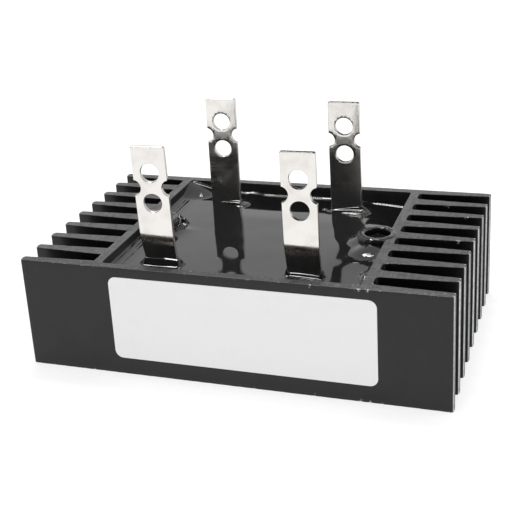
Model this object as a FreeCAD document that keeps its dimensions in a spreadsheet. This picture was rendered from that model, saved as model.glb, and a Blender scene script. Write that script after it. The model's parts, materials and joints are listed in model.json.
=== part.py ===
# Single-phase bridge rectifier in a finned aluminium body, millimetres, +Z up.
# The origin is the middle of the underside. The long plain faces look along -Y and +Y
# and the fins point along -X and +X. The front, with the label, looks along -Y.
import FreeCAD, Part
import os
import Sketcher

os.makedirs("parts", exist_ok=True)
doc = FreeCAD.newDocument("bridge_rectifier")
sheet = doc.addObject("Spreadsheet::Sheet", "sheet")

# The driving dimensions.
sizes = {
    # The extruded body.
    "body_length": 80.0,
    "body_depth": 49.0,
    "body_height": 21.5,
    "end_wall": 1.8,
    "web": 1.8,
    "cavity_round": 0.6,
    "fin_pitch": 5.9,
    "gap_count": 8,
    "gap_at_root": 3.0,
    "gap_at_tip": 4.2,
    "root_round": 0.8,
    "tip_round": 0.45,
    "boss_diameter": 7.2,
    "screw_hole": 4.8,
    "screw_spacing": 44.0,
    "screw_to_web": 2.1,
    "screw_chamfer": 0.3,
    # The floor plate and what is bonded to it.
    "floor_thickness": 3.0,
    "floor_fit": 0.05,
    "bond_thickness": 0.1,
    "ceramic_to_wall": 1.7,
    "ceramic_to_boss": 0.2,
    "ceramic_thickness": 0.8,
    "circuit_shift": -1.2,
    # The copper pads, the chips and the links between them.
    "pad_thickness": 1.0,
    "pad_gap": 1.2,
    "pad_margin": 0.5,
    "solder_thickness": 0.1,
    "chip_width": 7.0,
    "chip_thickness": 0.4,
    "chip_inset": 1.2,
    "chip_aside_x": 1.65,
    "chip_aside_y": 2.95,
    "link_width": 4.6,
    "link_thickness": 0.5,
    "link_rise": 1.4,
    "link_bend": 0.4,
    "link_chip_landing": 4.0,
    "link_pad_landing": 3.4,
    "link_pad_inset": 1.2,
    # The terminals.
    "strip_width": 6.35,
    "strip_thickness": 0.8,
    "terminal_reach": 23.4,
    "terminal_to_wall": 5.7,
    "terminal_spacing": 26.7,
    "foot_length": 5.4,
    "foot_bend": 0.8,
    "set_out": 1.0,
    "set_out_start": 1.4,
    "set_out_rise": 4.8,
    "set_out_bend": 3.5,
    "wire_hole": 3.5,
    "wire_hole_drop": 4.95,
    "wire_hole_spacing": 5.75,
    "notch_diameter": 2.95,
    "neck_width": 3.95,
    "strip_corner": 0.4,
    # How far each terminal stands aside of its place and above the others, as set by hand.
    "positive_aside": 0.2,
    "positive_raised": 0.4,
    "ac_right_aside": -0.2,
    "ac_right_raised": -0.3,
    "negative_aside": 0.45,
    "negative_raised": -0.3,
    "ac_left_aside": -0.45,
    "ac_left_raised": 0.1,
    # The potting compound and the label.
    "potting_drop": 2.7,
    "potting_fit": 0.02,
    "label_length": 49.4,
    "label_height": 16.3,
    "label_thickness": 0.1,
    "label_corner": 1.5,
    "label_shift": 2.45,
    "label_lift": 0.75,
}
for row, (alias, value) in enumerate(sizes.items(), start=1):
    sheet.set(f"A{row}", alias.replace("_", " "))
    sheet.set(f"B{row}", str(value))
    sheet.setAlias(f"B{row}", alias)
doc.recompute()

# Places that several pieces share, as expressions of the sheet's values.
screw_x = "(sheet.screw_spacing / 2)"
cavity_x = f"({screw_x} + sheet.screw_to_web)"
cavity_y = "(sheet.body_depth / 2 - sheet.end_wall)"
gap_reach = f"({cavity_x} + sheet.web)"
fin_tip = "(sheet.body_length / 2)"
first_gap = "(-(sheet.gap_count - 1) * sheet.fin_pitch / 2)"
potting_top = "(sheet.body_height - sheet.potting_drop)"
bond_base = "sheet.floor_thickness"
ceramic_base = f"({bond_base} + sheet.bond_thickness)"
pad_base = f"({ceramic_base} + sheet.ceramic_thickness)"
pad_top = f"({pad_base} + sheet.pad_thickness)"
pad_joint = f"({pad_top} + sheet.solder_thickness)"
chip_top = f"({pad_joint} + sheet.chip_thickness)"
chip_joint = f"({chip_top} + sheet.solder_thickness)"
chip_offset = "(sheet.pad_gap / 2 + sheet.chip_inset + sheet.chip_width / 2)"
link_landing = "(sheet.pad_gap / 2 + sheet.link_pad_inset)"
boss_inner = f"({screw_x} - sheet.boss_diameter / 2)"
half_ceramic_x = f"({boss_inner} - sheet.ceramic_to_boss - abs(sheet.circuit_shift))"
half_ceramic_y = f"({cavity_y} - sheet.ceramic_to_wall)"
pad_length = f"({half_ceramic_x} - sheet.pad_margin - sheet.pad_gap / 2)"
pad_depth = f"({half_ceramic_y} - sheet.pad_margin - sheet.pad_gap / 2)"
pad_centre_x = f"(sheet.pad_gap / 2 + {pad_length} / 2)"
pad_centre_y = f"(sheet.pad_gap / 2 + {pad_depth} / 2)"
chip_lane_x = f"({pad_centre_x} + sheet.chip_aside_x)"
chip_lane_y = f"({pad_centre_y} + sheet.chip_aside_y)"
terminal_row = f"({cavity_y} - sheet.terminal_to_wall)"
terminal_top = f"({potting_top} + sheet.terminal_reach)"
half_strip = "(sheet.strip_thickness / 2)"


# Sketches and features.

def new_body(label):
    body = doc.addObject("PartDesign::Body", label)
    body.Label = label
    return body


def new_sketch(body, role, height="0"):
    plane = next(item for item in body.Origin.OriginFeatures if item.Role == role)
    sketch = body.newObject("Sketcher::SketchObject", body.Name + "_sketch")
    sketch.AttachmentSupport = [(plane, "")]
    sketch.MapMode = "FlatFace"
    sketch.setExpression(".AttachmentOffset.Base.z", height)
    return sketch


def hold_point(sketch, edge, end, x, y):
    # Ties one point of an edge to the sketch's origin by two bound distances.
    for kind, place in (("DistanceX", x), ("DistanceY", y)):
        index = sketch.addConstraint(Sketcher.Constraint(kind, -1, 1, edge, end, 1.0))
        sketch.setExpression(f"Constraints[{index}]", place)


def add_outline(sketch, corners):
    # A closed outline of straight edges. The starting points only have to differ.
    start = sketch.GeometryCount
    count = len(corners)
    guess = [FreeCAD.Vector(index, index * index, 0) for index in range(count)]
    for index in range(count):
        sketch.addGeometry(Part.LineSegment(guess[index], guess[(index + 1) % count]))
    for index in range(count):
        following = start + (index + 1) % count
        sketch.addConstraint(Sketcher.Constraint("Coincident", start + index, 2, following, 1))
    for index, (x, y) in enumerate(corners):
        hold_point(sketch, start + index, 1, x, y)


def add_rectangle(sketch, x, y, length, depth):
    # A rectangle about the centre x, y.
    west = f"{x} - {length} / 2"
    east = f"{x} + {length} / 2"
    south = f"{y} - {depth} / 2"
    north = f"{y} + {depth} / 2"
    add_outline(sketch, [(west, south), (east, south), (east, north), (west, north)])


def add_circle(sketch, x, y, diameter):
    edge = sketch.addGeometry(Part.Circle(FreeCAD.Vector(1, 1, 0), FreeCAD.Vector(0, 0, 1), 1))
    hold_point(sketch, edge, 3, x, y)
    index = sketch.addConstraint(Sketcher.Constraint("Diameter", edge, 2.0))
    sketch.setExpression(f"Constraints[{index}]", diameter)


def add_pad(body, sketch, length, both_ways=False):
    feature = body.newObject("PartDesign::Pad", body.Name + "_pad")
    feature.Profile = sketch
    feature.setExpression("Length", length)
    if both_ways:
        feature.SideType = "Symmetric"
    body.Tip = feature
    return feature


def add_pocket(body, sketch):
    # Cuts the sketch through the whole body, both ways from its plane.
    feature = body.newObject("PartDesign::Pocket", body.Name + "_pocket")
    feature.Profile = sketch
    feature.Type = "ThroughAll"
    feature.SideType = "Symmetric"
    body.Tip = feature
    return feature


def add_fillet(body, radius, chosen):
    # Rounds the edges of the body so far whose middle and direction pass the test.
    doc.recompute()
    base = body.Tip
    names = []
    for number, edge in enumerate(base.Shape.Edges, start=1):
        if edge.Curve.TypeId != "Part::GeomLine":
            continue
        middle = edge.CenterOfMass
        if chosen(middle, edge.tangentAt(edge.FirstParameter)):
            names.append(f"Edge{number}")
    feature = body.newObject("PartDesign::Fillet", body.Name + "_fillet")
    feature.Base = (base, names)
    feature.setExpression("Radius", radius)
    body.Tip = feature
    return feature


def bent_strip(body, corners, width):
    # A strip drawn by its side view in the YZ plane: corners, each with its bend's radius or None.
    section = new_sketch(body, "YZ_Plane")
    add_outline(section, [(y, z) for y, z, radius in corners])
    add_pad(body, section, width, both_ways=True)
    doc.recompute()
    for radius in dict.fromkeys(radius for y, z, radius in corners if radius):
        spots = []
        for index, corner in enumerate(corners):
            if corner[2] == radius:
                spots.append(section.Geometry[index].StartPoint)

        def chosen(middle, direction):
            if abs(direction.x) < 0.99:
                return False
            return any(near(middle.y, spot.x) and near(middle.z, spot.y) for spot in spots)

        add_fillet(body, radius, chosen)


def upright(direction):
    return abs(direction.z) > 0.99


def near(value, place):
    return abs(value - place) < 0.01


def slab(label, x, y, base, length, depth, thickness):
    # A flat rectangular piece about the centre x, y.
    body = new_body(label)
    sketch = new_sketch(body, "XY_Plane", base)
    add_rectangle(sketch, x, y, length, depth)
    add_pad(body, sketch, thickness)
    return body


# The extruded body, with its tapered fins and screw bosses.

def make_heat_sink():
    body = new_body("heat_sink")
    block = new_sketch(body, "XY_Plane")
    add_rectangle(block, "0", "0", "sheet.body_length", "sheet.body_depth")
    add_pad(body, block, "sheet.body_height")

    cavity = new_sketch(body, "XY_Plane")
    add_rectangle(cavity, "0", "0", f"(2 * {cavity_x})", f"(2 * {cavity_y})")
    add_pocket(body, cavity)

    # One gap on each side is wider at the fin tips than at the roots, and repeats along Y.
    gap = new_sketch(body, "XY_Plane")
    flare = f"(sheet.gap_at_tip - sheet.gap_at_root) / ({fin_tip} - {gap_reach})"
    mouth = f"(sheet.gap_at_tip + {flare} * sheet.web)"
    for side in ("1", "-1"):
        root = f"{side} * {gap_reach}"
        outside = f"{side} * ({fin_tip} + sheet.web)"
        add_outline(gap, [
            (root, f"{first_gap} - sheet.gap_at_root / 2"),
            (outside, f"{first_gap} - {mouth} / 2"),
            (outside, f"{first_gap} + {mouth} / 2"),
            (root, f"{first_gap} + sheet.gap_at_root / 2"),
        ])
    first = add_pocket(body, gap)
    pattern = body.newObject("PartDesign::LinearPattern", "fin_gaps")
    pattern.Originals = [first]
    pattern.Direction = (gap, ["V_Axis"])
    pattern.setExpression("Length", "(sheet.gap_count - 1) * sheet.fin_pitch")
    pattern.setExpression("Occurrences", "sheet.gap_count")
    body.Tip = pattern

    doc.recompute()
    tip_x = sizes["body_length"] / 2
    root_x = gap.Geometry[0].StartPoint.x
    wall_x = cavity.Geometry[1].StartPoint.x
    add_fillet(body, "sheet.tip_round", lambda at, way: upright(way) and near(abs(at.x), tip_x))
    add_fillet(body, "sheet.root_round", lambda at, way: upright(way) and near(abs(at.x), root_x))
    add_fillet(body, "sheet.cavity_round", lambda at, way: upright(way) and near(abs(at.x), wall_x))

    bosses = new_sketch(body, "XY_Plane")
    for side in ("1", "-1"):
        add_circle(bosses, f"{side} * {screw_x}", "0", "sheet.boss_diameter")
    add_pad(body, bosses, "sheet.body_height")
    holes = new_sketch(body, "XY_Plane")
    for side in ("1", "-1"):
        add_circle(holes, f"{side} * {screw_x}", "0", "sheet.screw_hole")
    add_pocket(body, holes)

    doc.recompute()
    base = body.Tip
    rims = []
    for number, edge in enumerate(base.Shape.Edges, start=1):
        if edge.Curve.TypeId == "Part::GeomCircle" and near(2 * edge.Curve.Radius, sizes["screw_hole"]):
            rims.append(f"Edge{number}")
    chamfer = body.newObject("PartDesign::Chamfer", "screw_hole_chamfer")
    chamfer.Base = (base, rims)
    chamfer.setExpression("Size", "sheet.screw_chamfer")
    body.Tip = chamfer
    return body


# The floor plate closes the cavity and is cut out round the bosses.

def fill_of_cavity(label, base, thickness, fit):
    body = new_body(label)
    outline = new_sketch(body, "XY_Plane", base)
    add_rectangle(outline, "0", "0", f"(2 * ({cavity_x} - {fit}))", f"(2 * ({cavity_y} - {fit}))")
    add_pad(body, outline, thickness)
    doc.recompute()
    corner_x = outline.Geometry[1].StartPoint.x
    add_fillet(body, "sheet.cavity_round", lambda at, way: upright(way) and near(abs(at.x), corner_x))
    bosses = new_sketch(body, "XY_Plane")
    for side in ("1", "-1"):
        add_circle(bosses, f"{side} * {screw_x}", "0", f"(sheet.boss_diameter + 2 * {fit})")
    add_pocket(body, bosses)
    return body


def make_floor():
    return fill_of_cavity("floor_plate", "0", "sheet.floor_thickness", "sheet.floor_fit")


# The ceramic, bonded to the floor plate, carries four copper pads, one for each terminal.
# Each lies in one quarter, given as its direction along X and along Y.

quarters = {
    "positive": ("1", "-1"),
    "ac_right": ("1", "1"),
    "negative": ("-1", "1"),
    "ac_left": ("-1", "-1"),
}


def make_insulation():
    shift = "sheet.circuit_shift"
    outline = (f"(2 * {half_ceramic_x})", f"(2 * {half_ceramic_y})")
    bond = slab("bond_layer", shift, "0", bond_base, *outline, "sheet.bond_thickness")
    ceramic = slab("ceramic_insulator", shift, "0", ceramic_base, *outline, "sheet.ceramic_thickness")
    return [bond, ceramic]


def make_pads():
    pads = []
    for name, (east, north) in quarters.items():
        x = f"(sheet.circuit_shift + {east} * {pad_centre_x})"
        y = f"({north} * {pad_centre_y})"
        pads.append(slab(f"pad_{name}", x, y, pad_base, pad_length, pad_depth, "sheet.pad_thickness"))
    return pads


# Each chip stands on one pad, cathode down, and a copper link takes its top to the next pad.
# A link crosses the gap between the pads along X or along Y.

chips = {
    "1": ("1", "-1", "Y"),
    "2": ("1", "-1", "X"),
    "3": ("1", "1", "X"),
    "4": ("-1", "-1", "Y"),
}


def chip_place(number):
    east, north, way = chips[number]
    if way == "Y":
        return f"(sheet.circuit_shift + {east} * {chip_lane_x})", f"({north} * {chip_offset})"
    return f"(sheet.circuit_shift + {east} * {chip_offset})", f"({north} * {chip_lane_y})"


def make_chips():
    made = []
    for number in chips:
        x, y = chip_place(number)
        width = "sheet.chip_width"
        made.append(slab(f"diode_chip_{number}", x, y, pad_joint, width, width, "sheet.chip_thickness"))
    return made


def make_link(number):
    # A strip bent up from the chip, over the gap and down to the next pad.
    # The section is drawn with the gap's middle at zero and the chip on the negative side.
    east, north, way = chips[number]
    body = new_body(f"link_{number}")
    thick = "sheet.link_thickness"
    inner = "sheet.link_bend"
    outer = f"(sheet.link_bend + {thick})"
    chip_end = f"(-{chip_offset} - sheet.link_chip_landing / 2)"
    rise_at = f"(-{chip_offset} + sheet.link_chip_landing / 2)"
    fall_at = link_landing
    pad_end = f"({link_landing} + sheet.link_pad_landing)"
    under = f"({chip_joint} + sheet.link_rise)"
    bent_strip(body, [
        (chip_end, chip_joint, None),
        (rise_at, chip_joint, outer),
        (rise_at, under, inner),
        (fall_at, under, inner),
        (fall_at, pad_joint, outer),
        (pad_end, pad_joint, None),
        (pad_end, f"{pad_joint} + {thick}", None),
        (f"{fall_at} + {thick}", f"{pad_joint} + {thick}", inner),
        (f"{fall_at} + {thick}", f"{under} + {thick}", outer),
        (f"{rise_at} - {thick}", f"{under} + {thick}", outer),
        (f"{rise_at} - {thick}", f"{chip_joint} + {thick}", inner),
        (chip_end, f"{chip_joint} + {thick}", None),
    ], "sheet.link_width")
    if way == "Y":
        turn = 0 if north == "-1" else 180
        body.setExpression(".Placement.Base.x", f"sheet.circuit_shift + {east} * {chip_lane_x}")
    else:
        turn = 90 if east == "1" else -90
        body.setExpression(".Placement.Base.x", "sheet.circuit_shift")
        body.setExpression(".Placement.Base.y", f"{north} * {chip_lane_y}")
    body.Placement.Rotation = FreeCAD.Rotation(FreeCAD.Vector(0, 0, 1), turn)
    return body


# The terminals are bent strips with two wire holes and a pair of bites between them.
# The front pair is set out towards the front just above the potting compound.

def terminal_x(name):
    east = quarters[name][0]
    return f"(sheet.circuit_shift + {east} * sheet.terminal_spacing / 2 + sheet.{name}_aside)"


def make_terminal(name):
    # Drawn with the upright's middle plane at zero and the foot towards +Y.
    north = quarters[name][1]
    front = north == "-1"
    body = new_body(f"terminal_{name}")
    top = f"({terminal_top} + sheet.{name}_raised)"
    upper_hole = f"({top} - sheet.wire_hole_drop)"
    lower_hole = f"({upper_hole} - sheet.wire_hole_spacing)"
    thick = "sheet.strip_thickness"
    inset = "sheet.set_out" if front else "0"
    outside = f"({inset} - {half_strip})"
    inside = f"({inset} + {half_strip})"
    foot_end = f"({outside} + sheet.foot_length)"
    foot_top = f"{pad_joint} + {thick}"
    corners = [
        (outside, pad_joint, f"(sheet.foot_bend + {thick})"),
        (foot_end, pad_joint, None),
        (foot_end, foot_top, None),
        (inside, foot_top, "sheet.foot_bend"),
        (half_strip, top, None),
        (f"-{half_strip}", top, None),
    ]
    if front:
        # The slanted stretch keeps the strip's thickness, so its corners lie a little apart.
        start = f"({potting_top} + sheet.set_out_start)"
        end = f"({start} + sheet.set_out_rise)"
        step = f"({half_strip} * tan(atan(sheet.set_out / sheet.set_out_rise) / 2))"
        tight = "sheet.set_out_bend"
        wide = f"(sheet.set_out_bend + {thick})"
        rising = [(inside, f"{start} + {step}", wide), (half_strip, f"{end} - {step}", tight)]
        falling = [(f"-{half_strip}", f"{end} + {step}", wide), (outside, f"{start} - {step}", tight)]
        corners = corners[:4] + rising + corners[4:] + falling
    bent_strip(body, corners, "sheet.strip_width")

    cuts = new_sketch(body, "XZ_Plane")
    add_circle(cuts, "0", upper_hole, "sheet.wire_hole")
    add_circle(cuts, "0", lower_hole, "sheet.wire_hole")
    for side in ("1", "-1"):
        bite_x = f"{side} * (sheet.neck_width + sheet.notch_diameter) / 2"
        add_circle(cuts, bite_x, f"({upper_hole} + {lower_hole}) / 2", "sheet.notch_diameter")
    add_pocket(body, cuts)
    doc.recompute()
    top_z = body.Tip.Shape.BoundBox.ZMax
    edge_x = sizes["strip_width"] / 2
    add_fillet(body, "sheet.strip_corner", lambda at, way: near(at.z, top_z) and near(abs(at.x), edge_x))

    body.setExpression(".Placement.Base.x", terminal_x(name))
    body.setExpression(".Placement.Base.y", f"{north} * {terminal_row}")
    body.Placement.Rotation = FreeCAD.Rotation(FreeCAD.Vector(0, 0, 1), 0 if front else 180)
    return body


# The solder lies in thin layers, one group for the chips, one for the links, one for the feet.

def solder_group(label, layers):
    members = []
    for number, (x, y, base, length, depth) in enumerate(layers, start=1):
        members.append(slab(f"{label}_{number}", x, y, base, length, depth, "sheet.solder_thickness"))
    group = doc.addObject("Part::Compound", label)
    group.Label = label
    group.Links = members
    return group


def make_chip_solder():
    layers = []
    for number in chips:
        x, y = chip_place(number)
        layers.append((x, y, pad_top, "sheet.chip_width", "sheet.chip_width"))
    return solder_group("chip_solder", layers)


def make_link_solder():
    layers = []
    bend = "(sheet.link_bend + sheet.link_thickness)"
    chip_flat = f"(sheet.link_chip_landing - {bend})"
    pad_flat = f"(sheet.link_pad_landing - {bend})"
    chip_middle = f"({chip_offset} + {bend} / 2)"
    pad_middle = f"({link_landing} + {bend} + {pad_flat} / 2)"
    width = "sheet.link_width"
    for east, north, way in chips.values():
        if way == "Y":
            x = f"(sheet.circuit_shift + {east} * {chip_lane_x})"
            layers.append((x, f"{north} * {chip_middle}", chip_top, width, chip_flat))
            layers.append((x, f"-1 * {north} * {pad_middle}", pad_top, width, pad_flat))
        else:
            y = f"({north} * {chip_lane_y})"
            near_x = f"(sheet.circuit_shift + {east} * {chip_middle})"
            far_x = f"(sheet.circuit_shift - {east} * {pad_middle})"
            layers.append((near_x, y, chip_top, chip_flat, width))
            layers.append((far_x, y, pad_top, pad_flat, width))
    return solder_group("link_solder", layers)


def make_terminal_solder():
    layers = []
    bend = "(sheet.foot_bend + sheet.strip_thickness)"
    flat = f"(sheet.foot_length - {bend})"
    for name, (_, north) in quarters.items():
        inset = "sheet.set_out" if north == "-1" else "0"
        reach = f"({inset} - {half_strip} + {bend} + {flat} / 2)"
        y = f"({north} * ({terminal_row} - {reach}))"
        layers.append((terminal_x(name), y, pad_top, "sheet.strip_width", flat))
    return solder_group("terminal_solder", layers)


# The potting compound fills the cavity round everything that stands in it.

def make_potting(immersed):
    depth = f"({potting_top} - {bond_base})"
    block = fill_of_cavity("potting_block", bond_base, depth, "sheet.potting_fit")
    inside = doc.addObject("Part::Compound", "immersed_pieces")
    inside.Links = immersed
    potting = doc.addObject("Part::Cut", "potting_compound")
    potting.Label = "potting_compound"
    potting.Base = block
    potting.Tool = inside
    return potting


# The label lies on the front face.

def make_label():
    body = new_body("label")
    outline = new_sketch(body, "XZ_Plane", "sheet.body_depth / 2")
    middle = "(sheet.body_height / 2 + sheet.label_lift)"
    add_rectangle(outline, "sheet.label_shift", middle, "sheet.label_length", "sheet.label_height")
    add_pad(body, outline, "sheet.label_thickness")
    add_fillet(body, "sheet.label_corner", lambda at, way: abs(way.y) > 0.99)
    return body


heat_sink = make_heat_sink()
floor_plate = make_floor()
stack = make_insulation() + make_pads() + make_chips()
stack += [make_link(number) for number in chips]
stack += [make_terminal(name) for name in quarters]
stack += [make_chip_solder(), make_link_solder(), make_terminal_solder()]
potting = make_potting(stack)
pieces = [heat_sink, floor_plate] + stack + [potting, make_label()]
doc.recompute()

for item in doc.Objects:
    if "Invalid" in item.State or "Error" in item.State:
        raise RuntimeError(f"{item.Label} failed: {item.State}")
for piece in pieces:
    if piece.Shape.isNull() or not piece.Shape.isValid():
        raise RuntimeError(f"{piece.Label} has no valid shape")
for piece in pieces:
    piece.Shape.exportStep(f"parts/{piece.Label}.step")
    count = len(piece.Shape.Solids)
    print(f"{piece.Label}: {count} solid(s), {piece.Shape.Volume:.2f} cubic millimetres")
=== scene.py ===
# Looks of a bridge rectifier in a finned aluminium body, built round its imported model.
import json
import bpy
import numpy as np
from mathutils import Matrix, Vector
from mathutils.geometry import delaunay_2d_cdt

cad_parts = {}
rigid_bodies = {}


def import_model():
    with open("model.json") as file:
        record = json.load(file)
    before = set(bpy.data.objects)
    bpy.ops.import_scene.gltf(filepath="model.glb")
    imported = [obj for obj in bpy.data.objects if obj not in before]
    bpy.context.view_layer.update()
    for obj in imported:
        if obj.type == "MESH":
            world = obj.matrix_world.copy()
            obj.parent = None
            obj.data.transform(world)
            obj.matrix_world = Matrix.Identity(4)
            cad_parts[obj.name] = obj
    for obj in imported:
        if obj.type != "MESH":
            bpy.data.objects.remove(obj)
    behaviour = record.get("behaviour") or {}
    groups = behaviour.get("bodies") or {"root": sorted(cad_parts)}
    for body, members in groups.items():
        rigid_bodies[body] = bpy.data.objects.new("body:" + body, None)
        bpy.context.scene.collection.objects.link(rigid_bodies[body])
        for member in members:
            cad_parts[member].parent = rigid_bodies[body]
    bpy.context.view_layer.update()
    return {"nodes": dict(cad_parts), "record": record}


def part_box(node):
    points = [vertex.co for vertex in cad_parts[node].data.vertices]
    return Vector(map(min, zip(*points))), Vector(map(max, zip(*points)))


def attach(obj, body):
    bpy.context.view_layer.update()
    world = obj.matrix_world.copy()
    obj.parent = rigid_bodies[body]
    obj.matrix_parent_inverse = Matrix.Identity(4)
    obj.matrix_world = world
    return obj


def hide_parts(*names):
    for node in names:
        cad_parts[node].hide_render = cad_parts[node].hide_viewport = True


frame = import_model()
scene = bpy.context.scene
mm = 0.001  # lengths below are in millimetres


def boxOf(node):
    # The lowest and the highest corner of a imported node, in millimetres.
    return [np.array(corner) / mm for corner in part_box(node)]


bodyHigh = boxOf("heat_sink")[1]
pottingTop = boxOf("potting_compound")[1][2]
rimTop = bodyHigh[2]


# Mesh tools. Outlines run with the solid on their left, so their outward side is on the right.

def unit(vectors):
    return vectors / np.maximum(np.linalg.norm(vectors, axis=-1, keepdims=True), 1e-12)


def roundLoop(corners, radii, steps=6):
    # Each corner becomes an arc: its centre lies on the bisector, radius / sin(half angle) away.
    corners = np.asarray(corners, float)
    radii = np.broadcast_to(np.asarray(radii, float), len(corners))
    back = unit(np.roll(corners, 1, 0) - corners)
    forth = unit(np.roll(corners, -1, 0) - corners)
    half = np.arccos(np.clip((back * forth).sum(1), -1, 1)) / 2
    reach = radii / np.tan(half)
    centre = corners + unit(back + forth) * (radii / np.sin(half))[:, None]
    first = corners + back * reach[:, None] - centre
    last = corners + forth * reach[:, None] - centre
    start = np.arctan2(first[:, 1], first[:, 0])
    sweep = np.arctan2(last[:, 1], last[:, 0]) - start
    sweep = (sweep + np.pi) % (2 * np.pi) - np.pi
    angle = start[:, None] + sweep[:, None] * np.linspace(0, 1, steps + 1)
    ring = np.stack([np.cos(angle), np.sin(angle)], -1) * radii[:, None, None]
    return (centre[:, None] + ring).reshape(-1, 2)


def evenLoop(points, spacing):
    # Adds points along each side so that none is longer than the spacing.
    side = np.roll(points, -1, 0) - points
    length = np.linalg.norm(side, axis=1)
    kept = length > 1e-6
    points, side, length = points[kept], side[kept], length[kept]
    parts = np.maximum(1, np.ceil(length / spacing).astype(int))
    index = np.repeat(np.arange(len(points)), parts)
    share = (np.arange(parts.sum()) - np.repeat(np.cumsum(parts) - parts, parts)) / parts[index]
    return points[index] + side[index] * share[:, None]


def outward(loop):
    # The direction from each point's neighbour before to the one after, turned a quarter clockwise.
    along = unit(np.roll(loop, -1, 0) - np.roll(loop, 1, 0))
    return np.stack([along[:, 1], -along[:, 0]], 1)


def ease(value, low, high):
    # A smooth step from 0 at low to 1 at high: 3 times the share squared less 2 times its cube.
    share = np.clip((value - low) / (high - low), 0, 1)
    return share * share * (3 - 2 * share)


def loopNoise(loop, size, seed):
    # Random values from -1 to 1, one every "size" along the outline, joined by a smooth step.
    length = np.linalg.norm(np.roll(loop, -1, 0) - loop, axis=1)
    total = length.sum()
    count = max(4, int(round(total / size)))
    place = np.concatenate([[0], np.cumsum(length)[:-1]]) / total * count
    values = np.random.default_rng(seed).uniform(-1, 1, count)
    low = np.floor(place).astype(int) % count
    share = ease(place - np.floor(place), 0, 1)
    return values[low] * (1 - share) + values[(low + 1) % count] * share


def planeNoise(x, y, size, seed):
    # Random values from -1 to 1 on a square lattice of that size, joined by smooth steps. The shifts keep
    # the object's middle off the lattice's points.
    count, shiftU, shiftV = 256, 97.3, 61.7
    values = np.random.default_rng(seed).uniform(-1, 1, (count, count))
    u, v = x / size + shiftU, y / size + shiftV
    lowU, lowV = np.floor(u).astype(int), np.floor(v).astype(int)
    s, t = ease(u - lowU, 0, 1), ease(v - lowV, 0, 1)
    a, b = values[lowU % count, lowV % count], values[(lowU + 1) % count, lowV % count]
    c, d = values[lowU % count, (lowV + 1) % count], values[(lowU + 1) % count, (lowV + 1) % count]
    return (a * (1 - s) + b * s) * (1 - t) + (c * (1 - s) + d * s) * t


def gridFaces(rows, columns, closedRows=False, closedColumns=True):
    # Quads between neighbouring rows and columns of a grid whose points lie row by row.
    row = np.arange(rows if closedRows else rows - 1)[:, None]
    column = np.arange(columns if closedColumns else columns - 1)[None, :]
    nextRow, nextColumn = (row + 1) % rows, (column + 1) % columns
    quads = [row * columns + column, row * columns + nextColumn,
             nextRow * columns + nextColumn, nextRow * columns + column]
    return np.stack(np.broadcast_arrays(*quads), -1).reshape(-1, 4)


def fillLoops(loops, inner=None):
    # Triangles of the flat region inside the first outline and outside the others.
    # Their numbers count the loops' points in order, then those of any inner points.
    points = np.concatenate(loops if inner is None else [*loops, inner])
    faces, start = [], 0
    for loop in loops:
        x, y = loop[:, 0], loop[:, 1]
        turn = (x * np.roll(y, -1) - y * np.roll(x, -1)).sum()
        numbers = list(range(start, start + len(loop)))
        faces.append(numbers if turn > 0 else numbers[::-1])
        start += len(loop)
    found = delaunay_2d_cdt([Vector(point) for point in points.tolist()], [], faces, 1, 1e-6, True)
    source = np.array([origin[0] for origin in found[3]])
    kept = [triangle for triangle, owners in zip(found[2], found[5]) if list(owners) == [0]]
    return source[np.array(kept)]


def buildPiece(name, points, polygons, flat=()):
    # Makes an object at the origin from points in millimetres. polygons holds arrays of quads and triangles.
    # Groups of polygons whose number is in "flat" keep flat shading.
    mesh = bpy.data.meshes.new(name)
    sizes = np.concatenate([np.full(len(group), group.shape[1]) for group in polygons])
    corners = np.concatenate([group.reshape(-1) for group in polygons])
    mesh.vertices.add(len(points))
    mesh.vertices.foreach_set("co", (np.asarray(points) * mm).astype(np.float32).ravel())
    mesh.loops.add(len(corners))
    mesh.loops.foreach_set("vertex_index", corners.astype(np.int32))
    mesh.polygons.add(len(sizes))
    mesh.polygons.foreach_set("loop_start", (np.cumsum(sizes) - sizes).astype(np.int32))
    mesh.update(calc_edges=True)
    smooth = [np.full(len(group), number not in flat) for number, group in enumerate(polygons)]
    mesh.polygons.foreach_set("use_smooth", np.concatenate(smooth))
    mesh.validate()
    piece = bpy.data.objects.new(name, mesh)
    scene.collection.objects.link(piece)
    return piece


def storeValues(piece, name, values):
    attribute = piece.data.attributes.new(name, "FLOAT", "POINT")
    attribute.data.foreach_set("value", np.asarray(values, np.float32))


def seat(piece, slotName, material, *nodes):
    piece.data.materials.append(material)
    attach(piece, "root")
    if nodes:
        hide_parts(*nodes)


# Camera, at the photo's angle. Pan turns it to the left of +Y, pitch down, and roll about its axis.
cameraView = {
    "panDeg": 20.174,
    "pitchDeg": 20.776,
    "rollDeg": -3.699,
    "place": (62.917, -183.357, 98.639),
    "focalPixels": 1079.29,
    "framePixels": 510,
    "axisPixel": (242.694, 209.321),
    "sensorWidth": 36.0,
}


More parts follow.
